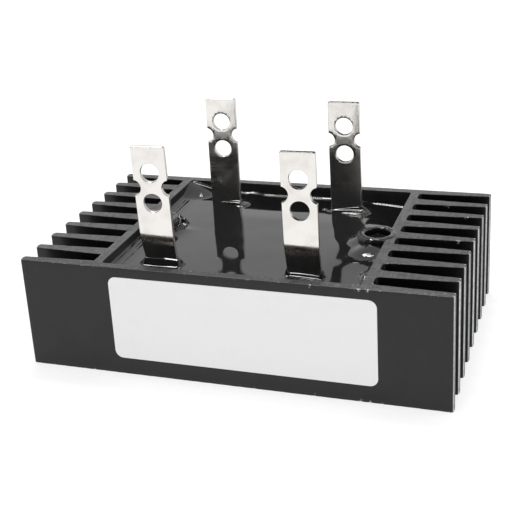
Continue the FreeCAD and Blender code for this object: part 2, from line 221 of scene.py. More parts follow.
def placeCamera(view):
    pan, pitch, roll = np.radians([view["panDeg"], view["pitchDeg"], view["rollDeg"]])
    ahead = Vector((-np.sin(pan) * np.cos(pitch), np.cos(pan) * np.cos(pitch), -np.sin(pitch)))
    level = ahead.cross(Vector((0, 0, 1))).normalized()
    above = level.cross(ahead)
    right = level * np.cos(roll) + above * np.sin(roll)
    up = above * np.cos(roll) - level * np.sin(roll)
    data = bpy.data.cameras.new("photoCamera")
    data.sensor_width = view["sensorWidth"]
    data.lens = view["focalPixels"] * view["sensorWidth"] / view["framePixels"]
    half = view["framePixels"] / 2
    data.shift_x = (half - view["axisPixel"][0]) / view["framePixels"]
    data.shift_y = (view["axisPixel"][1] - half) / view["framePixels"]
    data.clip_start = 0.01
    camera = bpy.data.objects.new("photoCamera", data)
    scene.collection.objects.link(camera)
    turn = Matrix((right, up, -ahead)).transposed().to_4x4()
    camera.matrix_world = Matrix.Translation(Vector(view["place"]) * mm) @ turn
    scene.camera = camera


placeCamera(cameraView)
print("camera placed")


# Studio: a white dome over a white floor, soft boxes above and to the right, two more that only mirrors
# see, for the glints on the epoxy, and a dark card round the camera's side that only mirrors see too.
studio = {
    "domeStrength": 1.0,
    "floorSize": 4000.0,
    "floorColour": (0.45, 0.45, 0.45),
    "floorGlow": 0.62,
    "boxes": {
        # name: (place, aimed at, width, depth, watts, seen by mirrors only)
        "overheadBox": ((-60, 150, 560), (0, 0, 15), 170, 90, 0.9, False),
        "backGlint": ((-165, 120, 520), (0, 0, 15), 170, 80, 0.9, True),
        "frontGlint": ((-170, -141, 520), (0, 0, 15), 300, 90, 2.4, True),
        "rightBox": ((420, 160, 160), (0, 0, 12), 120, 160, 0.25, False),
    },
    "cardRadius": 900.0,
    "cardTurn": (-150.0, -45.0),
    "cardRise": (4.0, 70.0),
    "cardParts": (13, 25),  # rows and columns of its grid
    "cardColour": (0.08, 0.08, 0.08),
}


def glowMaterial(name, colour, roughness, glow):
    material = bpy.data.materials.new(name)
    material.use_nodes = True
    shader = material.node_tree.nodes["Principled BSDF"]
    shader.inputs["Base Color"].default_value = (*colour, 1)
    shader.inputs["Roughness"].default_value = roughness
    shader.inputs["Specular IOR Level"].default_value = 0.0
    shader.inputs["Emission Color"].default_value = (1, 1, 1, 1)
    shader.inputs["Emission Strength"].default_value = glow
    return material


def buildFloor(settings):
    half = settings["floorSize"] / 2 * mm
    mesh = bpy.data.meshes.new("studioFloor")
    corners = [(-half, -half, 0), (half, -half, 0), (half, half, 0), (-half, half, 0)]
    mesh.from_pydata(corners, [], [(0, 1, 2, 3)])
    mesh.materials.append(glowMaterial("paleFloor", settings["floorColour"], 0.9, settings["floorGlow"]))
    floor = bpy.data.objects.new("studioFloor", mesh)
    scene.collection.objects.link(floor)


def buildCard(settings):
    # Part of a sphere round the object; turns are from +X towards +Y, and rises from the floor up.
    rows, columns = settings["cardParts"]
    turn = np.radians(np.linspace(*settings["cardTurn"], columns))
    rise = np.radians(np.linspace(*settings["cardRise"], rows))[:, None]
    radius = settings["cardRadius"] * mm
    level = radius * np.cos(rise)
    places = np.broadcast_arrays(level * np.cos(turn), level * np.sin(turn), radius * np.sin(rise))
    points = np.stack(places, -1)
    mesh = bpy.data.meshes.new("darkCard")
    quads = gridFaces(rows, columns, closedColumns=False)
    mesh.from_pydata(points.reshape(-1, 3).tolist(), [], quads.tolist())
    mesh.materials.append(glowMaterial("darkCloth", settings["cardColour"], 1.0, 0.0))
    card = bpy.data.objects.new("darkCard", mesh)
    scene.collection.objects.link(card)
    card.visible_camera = card.visible_diffuse = card.visible_shadow = False


def buildStudio(settings):
    scene.view_settings.view_transform = "Standard"
    world = bpy.data.worlds.new("studioWorld")
    world.use_nodes = True
    back = world.node_tree.nodes["Background"]
    back.inputs["Color"].default_value = (1, 1, 1, 1)
    back.inputs["Strength"].default_value = settings["domeStrength"]
    scene.world = world
    buildFloor(settings)
    buildCard(settings)
    for name, (place, target, width, depth, watts, glintOnly) in settings["boxes"].items():
        data = bpy.data.lights.new(name, "AREA")
        data.shape = "RECTANGLE"
        data.size = width * mm
        data.size_y = depth * mm
        data.energy = watts
        light = bpy.data.objects.new(name, data)
        light.visible_diffuse = not glintOnly
        scene.collection.objects.link(light)
        aim = (Vector(target) - Vector(place)).to_track_quat("-Z", "Y").to_matrix().to_4x4()
        light.matrix_world = Matrix.Translation(Vector(place) * mm) @ aim


buildStudio(studio)
print("studio built")


# Materials. Patterns read Object coordinates, which are metres.

def newMaterial(name, **values):
    material = bpy.data.materials.new(name)
    material.use_nodes = True
    shader = material.node_tree.nodes["Principled BSDF"]
    for socket, value in values.items():
        shader.inputs[socket.replace("_", " ")].default_value = value
    return material.node_tree, shader, material


def addNode(tree, kind, inputs=None, **settings):
    node = tree.nodes.new(kind)
    for key, value in settings.items():
        setattr(node, key, value)
    for socket, value in (inputs or {}).items():
        if hasattr(value, "is_output"):
            tree.links.new(value, node.inputs[socket])
        else:
            node.inputs[socket].default_value = value
    return node


def objectPlace(tree, stretch=(1, 1, 1), turn=(0, 0, 0)):
    place = addNode(tree, "ShaderNodeTexCoord").outputs["Object"]
    node = addNode(tree, "ShaderNodeMapping", {"Vector": place, "Scale": stretch, "Rotation": turn})
    return node.outputs["Vector"]


def noise(tree, size, stretch=(1, 1, 1), detail=3.0, roughness=0.5, turn=(0, 0, 0)):
    # Noise whose spots are about "size" millimetres across.
    inputs = {"Vector": objectPlace(tree, stretch, turn), "Scale": 1 / (size * mm), "Detail": detail,
              "Roughness": roughness}
    return addNode(tree, "ShaderNodeTexNoise", inputs).outputs["Fac"]


def ranged(tree, value, low, high, toLow=0.0, toHigh=1.0):
    inputs = {"Value": value, "From Min": low, "From Max": high, "To Min": toLow, "To Max": toHigh}
    return addNode(tree, "ShaderNodeMapRange", inputs).outputs["Result"]


def blend(tree, share, first, second):
    inputs = {"Factor": share, "A": first, "B": second}
    node = addNode(tree, "ShaderNodeMix", data_type="RGBA")
    for name, value in inputs.items():
        socket = next(s for s in node.inputs if s.name == name and s.enabled)
        if hasattr(value, "is_output"):
            tree.links.new(value, socket)
        else:
            socket.default_value = value
    return next(s for s in node.outputs if s.enabled)


def calculate(tree, kind, first, second=0.0):
    return addNode(tree, "ShaderNodeMath", {0: first, 1: second}, operation=kind).outputs["Value"]


def bump(tree, height, distance, strength=1.0, under=None):
    inputs = {"Height": height, "Distance": distance * mm, "Strength": strength}
    if under is not None:
        inputs["Normal"] = under
    return addNode(tree, "ShaderNodeBump", inputs).outputs["Normal"]


def facing(tree, axis):
    # 1 on a face that looks along the axis either way, and 0 on one that stands along it.
    normal = addNode(tree, "ShaderNodeNewGeometry").outputs["Normal"]
    parts = addNode(tree, "ShaderNodeSeparateXYZ", {"Vector": normal})
    return calculate(tree, "ABSOLUTE", parts.outputs[axis])


def stored(tree, name):
    return addNode(tree, "ShaderNodeAttribute", attribute_name=name).outputs["Fac"]


coating = {
    "plain": (0.006, 0.0061, 0.006, 1),
    "patchy": (0.011, 0.0111, 0.011, 1),
    # deep: colour of the painted shade in the gaps between the fins
    "deep": (0.0025, 0.0025, 0.0025, 1),
    "sawn": (0.05, 0.051, 0.052, 1),
    "bare": (0.3, 0.305, 0.31, 1),
    # tipHighlight: bright metal colour painted on the fins' tip corners as their highlight
    "tipHighlight": (0.8, 0.8, 0.805, 1),
    "roughness": (0.34, 0.46),
    "mottleSize": 6.0,
    "grainSize": 0.35,
    "blotchSize": 0.9,
    "fleckSize": 0.6,
    "streakSize": 0.22,
    "crossSize": 0.3,
    "crossTurn": 0.45,
    "frontTop": (0.45, 0.95),  # brightness of the front plate's top at its left and at its right
    "frontTopX": (5, 18),
    "frontTopY": (-22.75, -22.5),
}


def frontTopShade(tree, values):
    # 1 on the front plate's top, and the brightness there, which is 1 everywhere else.
    place = addNode(tree, "ShaderNodeSeparateXYZ", {"Vector": objectPlace(tree)})
    front, behind = (edge * mm for edge in values["frontTopY"])
    strip = ranged(tree, place.outputs["Y"], front, behind, 1.0, 0.0)
    left, right = (edge * mm for edge in values["frontTopX"])
    shade = ranged(tree, place.outputs["X"], left, right, *values["frontTop"])
    dimmed = calculate(tree, "MULTIPLY", calculate(tree, "SUBTRACT", 1.0, shade), strip)
    return strip, calculate(tree, "SUBTRACT", 1.0, dimmed)


def makeCoating(values):
    # Black satin coat: mottled faces, painted shade inside the gaps where the "gap" attribute is, streaked
    # sawn ends, bare specks where the "wear" attribute is high, and a painted highlight of bright metal on
    # the tips' round corners where "rubbed" is.
    tree, shader, material = newMaterial("blackCoat", IOR=1.42)
    mottle = noise(tree, values["mottleSize"], detail=4.0)
    grain = noise(tree, values["grainSize"], detail=2.0)
    blotch = noise(tree, values["blotchSize"], detail=5.0, roughness=0.7)
    streak = noise(tree, values["streakSize"], stretch=(0.1, 1, 1), detail=3.0, roughness=0.7)
    cross = noise(tree, values["crossSize"], stretch=(1, 0.08, 1), detail=2.0,
                  turn=(0, 0, values["crossTurn"]))
    lines = calculate(tree, "ADD", streak, calculate(tree, "MULTIPLY", cross, 0.7))
    lines = calculate(tree, "ADD", lines, blotch)
    sawn = ranged(tree, facing(tree, "Z"), 0.75, 0.97)
    frontTop, frontShade = frontTopShade(tree, values)
    sawnShade = calculate(tree, "MULTIPLY", ranged(tree, lines, 1.1, 1.6, 0.3, 1.7), frontShade)
    sawnColour = addNode(tree, "ShaderNodeVectorMath", {0: values["sawn"][:3], "Scale": sawnShade},
                         operation="SCALE").outputs["Vector"]
    specks = calculate(tree, "ADD", stored(tree, "wear"), ranged(tree, grain, 0.3, 0.7, -0.35, 0.35))
    flecks = ranged(tree, noise(tree, values["fleckSize"], detail=3.0, roughness=0.7), 0.6, 0.68, 0.0, 0.55)
    flecks = calculate(tree, "MULTIPLY", calculate(tree, "MULTIPLY", flecks, sawn), frontTop)
    bare = calculate(tree, "MAXIMUM", ranged(tree, specks, 0.55, 0.8), flecks)
    # painted highlight: bright metal on the fins' tip corners, where the "rubbed" attribute is
    rubbed = calculate(tree, "MULTIPLY", stored(tree, "rubbed"), ranged(tree, blotch, 0.3, 0.6, 0.55, 1.0))
    # painted shade in the fin gaps: a darker colour there, and part metal below, which takes away the coat's
    # sheen
    gap = stored(tree, "gap")
    colour = blend(tree, ranged(tree, mottle, 0.35, 0.7), values["plain"], values["patchy"])
    colour = blend(tree, gap, colour, values["deep"])
    colour = blend(tree, sawn, colour, sawnColour)
    colour = blend(tree, bare, colour, values["bare"])
    colour = blend(tree, rubbed, colour, values["tipHighlight"])
    tree.links.new(colour, shader.inputs["Base Color"])
    metal = calculate(tree, "MAXIMUM", calculate(tree, "MULTIPLY", bare, 0.6), rubbed)
    # part metal inside the gaps, for the painted shade: it takes the sheen away there
    metal = calculate(tree, "MAXIMUM", metal, calculate(tree, "MULTIPLY", gap, 0.35))
    tree.links.new(metal, shader.inputs["Metallic"])
    tree.links.new(ranged(tree, mottle, 0.3, 0.7, *values["roughness"]), shader.inputs["Roughness"])
    sawLines = bump(tree, calculate(tree, "MULTIPLY", lines, sawn), 0.04, 0.5)
    tree.links.new(bump(tree, grain, 0.012, 0.5, sawLines), shader.inputs["Normal"])
    return material


tinning = {
    "colour": (0.77, 0.75, 0.72, 1),
    "dull": (0.68, 0.655, 0.62, 1),
    "cut": (0.50, 0.48, 0.455, 1),
    "darkCut": (0.02, 0.019, 0.018, 1),
    "tarnish": (0.25, 0.215, 0.18, 1),
    "roughness": (0.1, 0.2),
    "cloudSize": 3.0,
    "rollingSize": 0.12,
    "rubSize": 0.45,
    "waveSize": 2.2,
}


def makeTinning(name, values, darkTop):
    # Bright tin on copper strip: faint rolling streaks, duller punched edges, brown tarnish where the
    # "tarnish" attribute says so and a dark top shear on some.
    tree, shader, material = newMaterial(name, Metallic=1.0)
    cloud = noise(tree, values["cloudSize"], detail=4.0)
    rolling = noise(tree, values["rollingSize"], stretch=(1, 1, 0.05), detail=2.0)
    rubbed = noise(tree, values["rubSize"], stretch=(1, 1, 0.35), detail=3.0, roughness=0.7)
    colour = blend(tree, ranged(tree, cloud, 0.45, 0.75), values["colour"], values["dull"])
    patchy = calculate(tree, "MULTIPLY", stored(tree, "tarnish"), ranged(tree, rubbed, 0.25, 0.65, 0.6, 1.15))
    colour = blend(tree, ranged(tree, patchy, 0.15, 0.9), colour, values["tarnish"])
    punched = ranged(tree, facing(tree, "Y"), 0.75, 0.35)
    colour = blend(tree, punched, colour, values["cut"])
    if darkTop:
        colour = blend(tree, ranged(tree, facing(tree, "Z"), 0.45, 0.75), colour, values["darkCut"])
    tree.links.new(colour, shader.inputs["Base Color"])
    shine = ranged(tree, cloud, 0.35, 0.7, *values["roughness"])
    shine = calculate(tree, "ADD", shine, calculate(tree, "MULTIPLY", punched, 0.2))
    shine = calculate(tree, "ADD", shine, calculate(tree, "MULTIPLY", patchy, 0.12))
    tree.links.new(shine, shader.inputs["Roughness"])
    waves = bump(tree, noise(tree, values["waveSize"], detail=1.0), 0.03, 0.3)
    waves = bump(tree, rubbed, 0.012, 0.35, waves)
    tree.links.new(bump(tree, rolling, 0.004, 0.35, waves), shader.inputs["Normal"])
    return material


epoxy = {
    "colour": (0.006, 0.006, 0.0063, 1),
    "dust": (0.06, 0.06, 0.06, 1),
    "roughness": (0.02, 0.07),
    "hazeSize": 5.0,
    "dustSize": 0.3,
    "rippleSize": 4.0,
}


def makeEpoxy(values):
    # Cast black epoxy with a mirror skin: slight ripples and a few dust specks.
    tree, shader, material = newMaterial("castEpoxy", IOR=1.52)
    haze = noise(tree, values["hazeSize"], detail=3.0)
    tree.links.new(ranged(tree, haze, 0.3, 0.75, *values["roughness"]), shader.inputs["Roughness"])
    dust = ranged(tree, noise(tree, values["dustSize"], detail=1.0), 0.76, 0.8)
    tree.links.new(blend(tree, dust, values["colour"], values["dust"]), shader.inputs["Base Color"])
    ripples = noise(tree, values["rippleSize"], detail=1.0)
    tree.links.new(bump(tree, ripples, 0.02, 0.25), shader.inputs["Normal"])
    return material


labelPaper = {
    "colour": (0.752, 0.752, 0.752, 1),
    "handled": (0.735, 0.735, 0.738, 1),
    "roughness": (0.5, 0.62),
    "markSize": 4.0,
    "fibreSize": 0.2,
}


def makeLabelPaper(values):
    # Smooth white face stock: faint handling marks and a fine fibre.
    tree, shader, material = newMaterial("labelPaper", IOR=1.45)
    marks = noise(tree, values["markSize"], detail=5.0, roughness=0.6)
    colour = blend(tree, ranged(tree, marks, 0.5, 0.8), values["colour"], values["handled"])
    tree.links.new(colour, shader.inputs["Base Color"])
    tree.links.new(ranged(tree, marks, 0.3, 0.7, *values["roughness"]), shader.inputs["Roughness"])
    fibre = noise(tree, values["fibreSize"], detail=3.0)
    tree.links.new(bump(tree, fibre, 0.004, 0.4), shader.inputs["Normal"])
    return material


innerFinishes = {
    # name: (colour, second colour, metallic, roughness, spot size, bump height)
    "bare_aluminium": ((0.62, 0.63, 0.64, 1), (0.52, 0.53, 0.54, 1), 1.0, 0.38, 0.5, 0.01),
    "bond": ((0.50, 0.51, 0.50, 1), (0.42, 0.43, 0.42, 1), 0.0, 0.7, 0.6, 0.02),
    "ceramic": ((0.86, 0.85, 0.82, 1), (0.80, 0.79, 0.76, 1), 0.0, 0.55, 0.3, 0.006),
    "copper": ((0.80, 0.42, 0.28, 1), (0.62, 0.30, 0.20, 1), 1.0, 0.3, 0.8, 0.006),
    "silicon": ((0.24, 0.25, 0.28, 1), (0.16, 0.17, 0.20, 1), 0.8, 0.22, 0.4, 0.002),
    "solder": ((0.62, 0.62, 0.61, 1), (0.48, 0.48, 0.47, 1), 1.0, 0.35, 0.3, 0.02),
}


def makeInnerFinish(name, values):
    # Spots of two like colours with a fine bump, for the pieces under the epoxy and the floor plate.
    first, second, metal, roughness, size, height = values
    tree, shader, material = newMaterial(name + "Finish", Metallic=metal)
    spots = noise(tree, size, detail=4.0)
    tree.links.new(blend(tree, ranged(tree, spots, 0.35, 0.65), first, second), shader.inputs["Base Color"])
    patchy = ranged(tree, spots, 0.3, 0.7, roughness * 0.85, roughness * 1.15)
    tree.links.new(patchy, shader.inputs["Roughness"])
    tree.links.new(bump(tree, spots, height, 0.6), shader.inputs["Normal"])
    return material


coatMaterial = makeCoating(coating)
epoxyMaterial = makeEpoxy(epoxy)
nodeMaterials = {
    "terminal_positive": makeTinning("tinDarkShear", tinning, True),
    "terminal_ac_left": makeTinning("tinLightShear", tinning, False),
    "label": makeLabelPaper(labelPaper),
    "potting_compound": epoxyMaterial,
    "heat_sink": coatMaterial,
}
nodeMaterials["terminal_ac_right"] = nodeMaterials["terminal_positive"]
nodeMaterials["terminal_negative"] = nodeMaterials["terminal_ac_left"]
innerMaterials = {name: makeInnerFinish(name, values) for name, values in innerFinishes.items()}
nodeSlots = {row["node"]: row["material_slot"] for row in frame["record"]["subparts"]}
for name, node in frame["nodes"].items():
    material = nodeMaterials.get(name) or innerMaterials[nodeSlots[name]]
    node.data.materials.clear()
    node.data.materials.append(material)
print("materials on", len(frame["nodes"]), "nodes")


# The extruded body, cut to length with a saw: walls are the outline carried up, with worn edges.
extrusion = {
    "endWall": 1.8,
    "web": 1.8,
    "cavityHalf": 24.1,
    "cavityRound": 0.6,
    "finPitch": 5.9,
    "gapCount": 8,
    "gapAtRoot": 3.0,
    "gapAtTip": 4.2,
    "rootRound": 0.8,
    "leftRootRound": 0.12,
    "tipRound": 0.45,
    "screwX": 22.0,
    "bossRadius": 3.6,
    "screwRadius": 2.4,
    "screwChamfer": 0.3,
    "pointSpacing": 0.5,
    "cavitySpacing": 0.4,
    "bossPoints": 60,
    "plainRows": (1.0, 14),  # plain rows start this far from both ends, and are this many
    "rimBand": 0.25,
    # the painted shade in the gaps gives way on the left fins' sides between these distances from the middle
    "shadeEndsAtTip": (36.8, 38.2),  # the left fins' sides turn light between these distances from the middle
    # the painted highlight on the tips' corners comes and goes as the outline turns towards X
    "tipFaces": (0.55, 0.8, 0.95, 0.995),  # the rub comes and goes as the outline turns towards X
    "edgeWear": 0.08,
    "rippleShare": 0.6,
    "rippleSize": 0.6,
    "chipDepth": 0.16,
    "chipSize": 0.7,
    "chipAbove": 0.6,  # of a noise from -1 to 1
    "patchSize": 9.0,
    "patchLift": 0.3,
    "patchFront": 0.75,
    "frontY": (24.0, 24.4),  # how far forward the front edge's fuller wear sets in
    "bare": 0.2,
    "bareUneven": 0.14,
    "bareSize": 2.5,
    "bareFront": 0.1,
    "bareChip": 0.75,
    "quietChip": 0.2,
    "quietX": 25.0,  # chips stay quiet to the left of this, apart from the front edge
}


def outerOutline(values):
    # From front to back along the right side, and forward along the left, with four corners for each gap.
    halfX, halfY = bodyHigh[0], bodyHigh[1]
    root = values["cavityHalf"] + values["web"]
    centres = (np.arange(values["gapCount"]) - (values["gapCount"] - 1) / 2) * values["finPitch"]
    mouth, neck = values["gapAtTip"] / 2, values["gapAtRoot"] / 2
    gap = np.array([[halfX, -mouth], [root, -neck], [root, neck], [halfX, mouth]])
    gaps = (gap[None] + np.stack([0 * centres, centres], 1)[:, None]).reshape(-1, 2)
    right = np.concatenate([[[halfX, -halfY]], gaps, [[halfX, halfY]]])
    atRoot = right[:, 0] == root
    radii = [np.where(atRoot, rootRound, values["tipRound"])
             for rootRound in (values["rootRound"], values["leftRootRound"])]
    return evenLoop(roundLoop(np.concatenate([right, -right]), np.concatenate(radii)), values["pointSpacing"])


def cavityCorner(values):
    # Half the cavity's length and half its depth.
    return values["cavityHalf"], bodyHigh[1] - values["endWall"]


def cavityOutline(values, margin=0.0):
    # The cavity's rectangle with each boss bulging in from its web, run clockwise.
    halfX, halfY = (half + margin for half in cavityCorner(values))
    radius = values["bossRadius"] - margin
    rise = np.sqrt(radius ** 2 - (halfX - values["screwX"]) ** 2)
    turn = np.arctan2(rise, halfX - values["screwX"])
    corners = roundLoop([(halfX, -halfY), (halfX, halfY), (-halfX, halfY), (-halfX, -halfY)],
                        values["cavityRound"])
    quarter = len(corners) // 4
    angle = np.linspace(-turn, turn - 2 * np.pi, values["bossPoints"])
    bulge = np.stack([values["screwX"] + radius * np.cos(angle), radius * np.sin(angle)], 1)
    loop = np.concatenate([corners[:quarter], bulge, corners[quarter:3 * quarter], -bulge,
                           corners[3 * quarter:]])
    return evenLoop(loop, values["cavitySpacing"])[::-1]


def circleOutline(x, y, radius, count=56):
    # A circle run clockwise, as the outline of a hole.
    angle = -np.linspace(0, 2 * np.pi, count, endpoint=False)
    return np.stack([x + radius * np.cos(angle), y + radius * np.sin(angle)], 1)


def edgeWear(loop, values, seed):
    # Width of the worn edge along an outline, and how bare it is: a fine ripple and a few deeper chips.
    ripple = values["rippleShare"] * loopNoise(loop, values["rippleSize"], seed)
    chip = np.clip(loopNoise(loop, values["chipSize"], seed + 1) - values["chipAbove"], 0, 1)
    chip = chip / (1 - values["chipAbove"])
    front = ease(-loop[:, 1], *values["frontY"])
    patch = np.clip(loopNoise(loop, values["patchSize"], seed + 2) + values["patchLift"], 0, 1)
    patch = np.maximum(patch, values["patchFront"] * front)
    quiet = (loop[:, 0] < values["quietX"]) & (front < 0.5)
    bare = values["bare"] + values["bareUneven"] * loopNoise(loop, values["bareSize"], seed + 3)
    bare = bare + values["bareFront"] * front
    bare = bare + np.where(quiet, values["quietChip"], values["bareChip"]) * chip * patch
    return values["edgeWear"] * (1 + ripple) + values["chipDepth"] * chip * patch, bare


def buildWall(loop, rows, widths, bare):
    # Rows of the outline from the underside to the rim, each pulled in by a fixed step and by its share
    # of the worn edge.
    normal = outward(loop)
    points, marks = [], []
    for height, inward, depth, step in rows:
        z = height - np.sign(height - rimTop / 2) * depth * widths
        xy = loop - normal * (inward * widths + step)[:, None]
        points.append(np.column_stack([xy, np.broadcast_to(z, len(loop))]))
        marks.append(bare * (depth + inward > 0) * (step == 0))
    return np.concatenate(points), np.concatenate(marks)


def gapShade(loop, values):
    # Painted shade: 1 in the gaps between fins, and 0 on the left fins' tips.
    deep = np.where(loop[:, 0] < 0, 1 - ease(-loop[:, 0], *values["shadeEndsAtTip"]), 1)
    facesGap = np.abs(outward(loop)[:, 1]) > 0.3
    betweenPlates = np.abs(loop[:, 1]) < bodyHigh[1] - 0.1
    return deep * facesGap * betweenPlates


def tipHighlightShare(loop, values, seed):
    # Painted highlight: 1 on the round corners of the fins' tips, uneven from fin to fin.
    towardsX = np.abs(outward(loop)[:, 0])
    corner = ease(towardsX, *values["tipFaces"][:2]) * (1 - ease(towardsX, *values["tipFaces"][2:]))
    atTip = np.abs(loop[:, 0]) > bodyHigh[0] - 1
    return corner * atTip * (0.75 + 0.25 * loopNoise(loop, values["finPitch"], seed))


def wallRows(values):
    # (height, the worn edge's share inward and its share along Z, fixed step inward), from floor to rim:
    # a flat band, a rounded worn edge and plain rows, then the edge and the band again.
    edge = [(0.0, 1.0, 0.0, values["rimBand"]), (0.0, 1.0, 0.0, 0.0), (0.0, 0.45, 0.12, 0.0),
            (0.0, 0.12, 0.45, 0.0), (0.0, 0.0, 1.0, 0.0)]
    first, count = values["plainRows"]
    middle = [(height, 0.0, 0.0, 0.0) for height in np.linspace(first, rimTop - first, count)]
    return edge + middle + [(rimTop, *rest) for _, *rest in reversed(edge)]


def screwHole(values, side):
    # Rings of a hole right through, wider by its chamfer at both ends.
    chamfer = values["screwChamfer"]
    rings = []
    for height, wider in ((0, chamfer), (chamfer, 0), (rimTop - chamfer, 0), (rimTop, chamfer)):
        ring = circleOutline(side * values["screwX"], 0, values["screwRadius"] + wider)
        rings.append(np.column_stack([ring, np.full(len(ring), height)]))
    return rings


def buildBody(values):
    # The outer wall, the cavity's wall and the two holes, each carried up, with flat faces at both ends.
    rows = wallRows(values)
    surfaces = []
    for number, loop in enumerate((outerOutline(values), cavityOutline(values))):
        isOuter = number == 0
        widths, bare = edgeWear(loop, values, 11 + 7 * number)
        wall, wear = buildWall(loop, rows, widths, bare)
        # the painted shade of the fin gaps and the painted highlight of the fin tips, on the outer wall only
        shade, tipGlint = gapShade(loop, values) * isOuter, tipHighlightShare(loop, values, 61) * isOuter
        surfaces.append({"rows": len(rows), "points": wall, "wear": wear,
                         "gap": np.tile(shade, len(rows)), "rubbed": np.tile(tipGlint, len(rows))})
    for side in (1, -1):
        rings = screwHole(values, side)
        hole = np.concatenate(rings)
        plain = np.zeros(len(hole))
        surfaces.append({"rows": len(rings), "points": hole, "wear": plain, "gap": plain, "rubbed": plain})
    polygons, lowRings, highRings, start = [], [], [], 0
    for surface in surfaces:
        count = len(surface["points"])
        around = count // surface["rows"]
        polygons.append(gridFaces(surface["rows"], around) + start)
        lowRings.append(np.arange(start, start + around))
        highRings.append(np.arange(start + count - around, start + count))
        start += count
    points = np.concatenate([surface["points"] for surface in surfaces])
    flat = []
    for rings, flip in ((highRings, False), (lowRings, True)):
        triangles = fillLoops([points[ring][:, :2] for ring in rings])
        triangles = np.concatenate(rings)[triangles]
        flat.append(len(polygons))
        polygons.append(triangles[:, ::-1] if flip else triangles)
    piece = buildPiece("extruded_body", points, polygons, flat)
    # the "gap" values are painted shade in the fin gaps, and the "rubbed" values a painted highlight on the
    # fin tips
    for name in ("wear", "gap", "rubbed"):
        storeValues(piece, name, np.concatenate([surface[name] for surface in surfaces]))
    seat(piece, "black_aluminium", coatMaterial, "heat_sink")
    print("extruded body:", len(points), "points")


buildBody(extrusion)


# The terminals: a flat strip's outline, punched, then bent along the middle line of its side view.
terminal = {
    "width": 6.35,
    "thickness": 0.8,
    "footBend": 1.2,
    "setOut": 1.0,
    "setOutStart": 1.4,
    "setOutRise": 4.8,
    "setOutBend": 8.0,
    "wireHole": 1.75,
    "wireHoleDrop": 4.95,
    "wireHoleSpacing": 5.75,
    "biteRadius": 1.475,
    "neckWidth": 3.95,
    "cornerRadius": 0.4,
    "edgeRound": 0.11,
    "spacing": 0.3,
    "gridAcross": (0.46, 9),  # inner points reach this share of the width to each side, and are this many
    "pointGap": 0.25,  # and stay this far from holes and bites
    "bitePoints": 22,
    "cornerPoints": 7,
    "holePoints": 44,
    "bendSteps": 30,
    "turnFrom": 2.0,  # height above the epoxy where the turn sets in
    "turnOver": 5.0,  # height over which it grows
    "tarnishAt": 24.45,
    "tarnishWide": 0.75,
}
terminalHang = {
    # node: (lean aside, turn and forward tilt in degrees, dents as (height, width, depth))
    "terminal_ac_left": (-1.2, 5.0, 0.0, []),
    "terminal_positive": (-0.2, 2.0, 0.0, []),
    "terminal_negative": (0.5, 3.0, 0.8, [(28.2, 0.9, 0.06)]),
    "terminal_ac_right": (-0.1, 2.0, 0.7, []),
}


def stripOutline(values, length, middle):
    # Up the right side round its bite, over the top and down the left side, which mirrors the right.
    half, radius = values["width"] / 2, values["biteRadius"]
    biteX = values["neckWidth"] / 2 + radius
    turn = np.pi - np.arccos((biteX - half) / radius)
    angle = np.linspace(-turn, turn - 2 * np.pi, values["bitePoints"])
    bite = np.stack([biteX + radius * np.cos(angle), middle + radius * np.sin(angle)], 1)
    sweep = np.radians(np.linspace(0, 90, values["cornerPoints"]))[:, None]
    corner = np.array([half, length]) - values["cornerRadius"]
    corner = corner + values["cornerRadius"] * np.hstack([np.cos(sweep), np.sin(sweep)])
    right = np.concatenate([[[half, 0]], bite, corner])
    return evenLoop(np.concatenate([right, (right * (-1, 1))[::-1]]), values["spacing"])


def sidePath(values, low, high):
    # Middle line in the YZ plane, from the foot's end up, with an arc at each bend.
    front = low[1] < 0
    halfThick = values["thickness"] / 2
    upright = low[1] + halfThick if front else high[1] - halfThick
    inward = 1 if front else -1
    footEnd = high[1] if front else low[1]
    lower = upright + inward * (values["setOut"] if front else 0)
    footZ = low[2] + halfThick
    corners = [(footEnd, footZ), (lower, footZ)]
    radii = [0, values["footBend"]]
    if front:
        start = pottingTop + values["setOutStart"]
        corners += [(lower, start), (upright, start + values["setOutRise"])]
        radii += [values["setOutBend"]] * 2
    corners.append((upright, high[2]))
    path = roundLoop(corners, radii + [0], values["bendSteps"])
    step = np.linalg.norm(np.diff(path, axis=0), axis=1)
    return path[np.concatenate([[True], step > 1e-9])]


def bendStrip(flat, path):
    # Points (across, along, out of the face) go to the path's place at "along", and out along its normal.
    step = np.diff(path, axis=0)
    length = np.concatenate([[0], np.cumsum(np.linalg.norm(step, axis=1))])
    way = unit(np.gradient(path, length, axis=0))
    along = np.clip(flat[:, 1], 0, length[-1])
    place = np.stack([np.interp(along, length, path[:, axis]) for axis in (0, 1)], 1)
    heading = unit(np.stack([np.interp(along, length, way[:, axis]) for axis in (0, 1)], 1))
    normal = np.stack([-heading[:, 1], heading[:, 0]], 1)
    yz = place + normal * flat[:, 2:]
    return np.column_stack([flat[:, 0], yz])


def faceGrid(values, length, places):
    # Points inside the flat strip's outline, clear of its holes and bites.
    reach, count = values["gridAcross"]
    across = np.linspace(-reach, reach, count) * values["width"]
    along = np.arange(values["spacing"], length - values["spacing"], values["spacing"])
    u, v = (part.ravel() for part in np.meshgrid(across, along))
    clear = values["pointGap"]
    biteX = values["neckWidth"] / 2 + values["biteRadius"]
    inside = np.hypot(np.abs(u) - biteX, v - sum(places) / 2) > values["biteRadius"] + clear
    for place in places:
        inside &= np.hypot(u, v - place) > values["wireHole"] + clear
    return np.stack([u[inside], v[inside]], 1)


